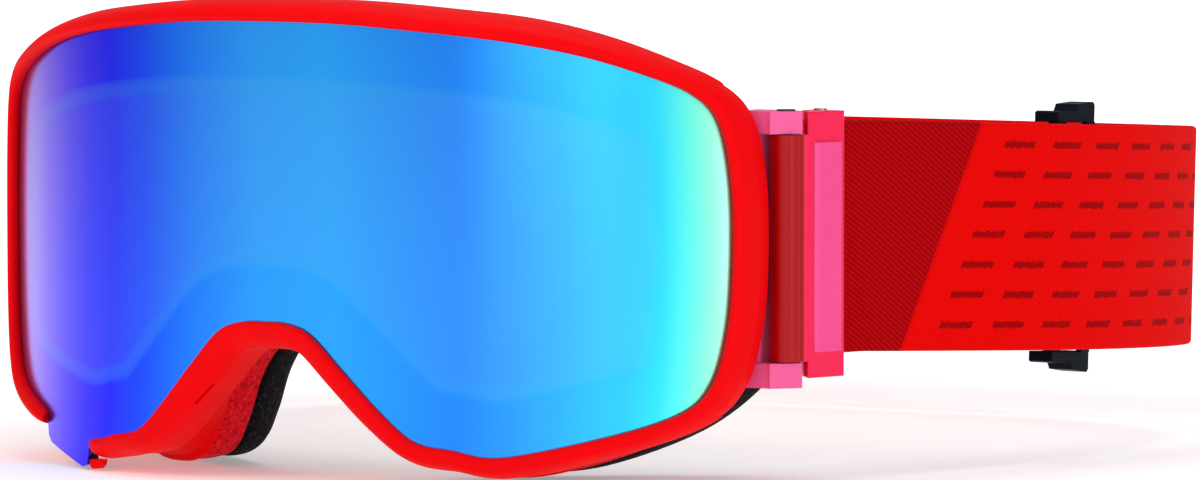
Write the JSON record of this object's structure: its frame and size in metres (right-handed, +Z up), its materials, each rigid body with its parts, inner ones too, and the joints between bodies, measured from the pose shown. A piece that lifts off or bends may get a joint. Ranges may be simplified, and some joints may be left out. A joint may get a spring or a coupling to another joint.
{
  "type": "ski goggles",
  "caption": "Ski goggles with a blue mirrored cylindrical double lens, a soft red frame, layered face foam, swivelling outriggers and an adjustable elastic strap.",
  "frame": {"origin": "where the face foam meets the face on the middle line, at the height of the strap's middle", "axes": "+Y from the lens back to the head, +X to the wearer's left, +Z up"},
  "size_m": [0.2136, 0.2276, 0.0914],
  "materials": {
    "rim_red": "soft moulded polyurethane, satin",
    "frame_red": "soft moulded polyurethane, satin",
    "mirror_lens": "polycarbonate with a blue mirror coating",
    "clear_lens": "clear cellulose propionate",
    "spacer_foam": "closed-cell spacer between the lenses",
    "gasket_rubber": "dark moulded seal",
    "vent_foam": "thin open-cell vent foam",
    "base_foam": "speckled firm foam",
    "soft_foam": "soft open-cell foam",
    "fleece": "brushed fleece",
    "pin_steel": "blackened steel",
    "plate_red": "hard nylon, satin",
    "panel_red": "hard nylon, polished",
    "bar_steel": "steel rod",
    "strap_dark": "woven elastic, twill",
    "strap_red": "woven elastic with dashes",
    "slider_grey": "moulded acetal, slate grey",
    "webbing": "thin woven webbing",
    "silicone": "silicone grip print"
  },
  "bodies": {
    "goggle_frame": {"front_rim": "rim_red", "face_frame": "frame_red", "outer_lens": "mirror_lens", "inner_lens": "clear_lens", "lens_spacer": "spacer_foam", "rim_hook": "rim_red", "tab_gasket": "gasket_rubber", "top_vent_foam": "vent_foam", "bottom_vent_foam_left": "vent_foam", "bottom_vent_foam_right": "vent_foam", "foam_base": "base_foam", "foam_cushion": "soft_foam", "face_fleece": "fleece", "outrigger_left": "frame_red", "outrigger_right": "frame_red", "hinge_pin_left": "pin_steel", "hinge_pin_right": "pin_steel", "strap_front_left": "strap_dark", "strap_front_right": "strap_dark", "strap_back": "strap_red", "strap_tail_left": "strap_dark", "strap_tail_right": "strap_dark", "grip_lines": "silicone"},
    "swivel_left": {"swivel_plate_left": "plate_red", "plate_panel_left": "panel_red", "strap_bar_left": "bar_steel", "strap_end_left": "strap_dark"},
    "adjuster_left": {"slider_left": "slider_grey", "slider_tab_left": "webbing"},
    "swivel_right": {"swivel_plate_right": "plate_red", "plate_panel_right": "panel_red", "strap_bar_right": "bar_steel", "strap_end_right": "strap_dark"},
    "adjuster_right": {"slider_right": "slider_grey", "slider_tab_right": "webbing"}
  },
  "joints": [
    {"name": "swivel_hinge_left", "type": "hinge", "parent": "goggle_frame", "child": "swivel_left", "pos_m": [0.086, -0.0036, 0], "axis": [0, 0, -1], "range_deg": [-15, 20]},
    {"name": "swivel_hinge_right", "type": "hinge", "parent": "goggle_frame", "child": "swivel_right", "pos_m": [-0.086, -0.0036, 0], "axis": [0, 0, 1], "range_deg": [-15, 20]},
    {"name": "strap_slider_left", "type": "hinge", "parent": "goggle_frame", "child": "adjuster_left", "pos_m": [-0.03931, 0.08891, -0.00344], "axis": [0, 0.0471, 0.9989], "range_deg": [-4, 10.5]},
    {"name": "strap_slider_right", "type": "hinge", "parent": "goggle_frame", "child": "adjuster_right", "pos_m": [0.03931, 0.08891, -0.00344], "axis": [0, -0.0471, -0.9989], "range_deg": [-4, 10.5]}
  ]
}
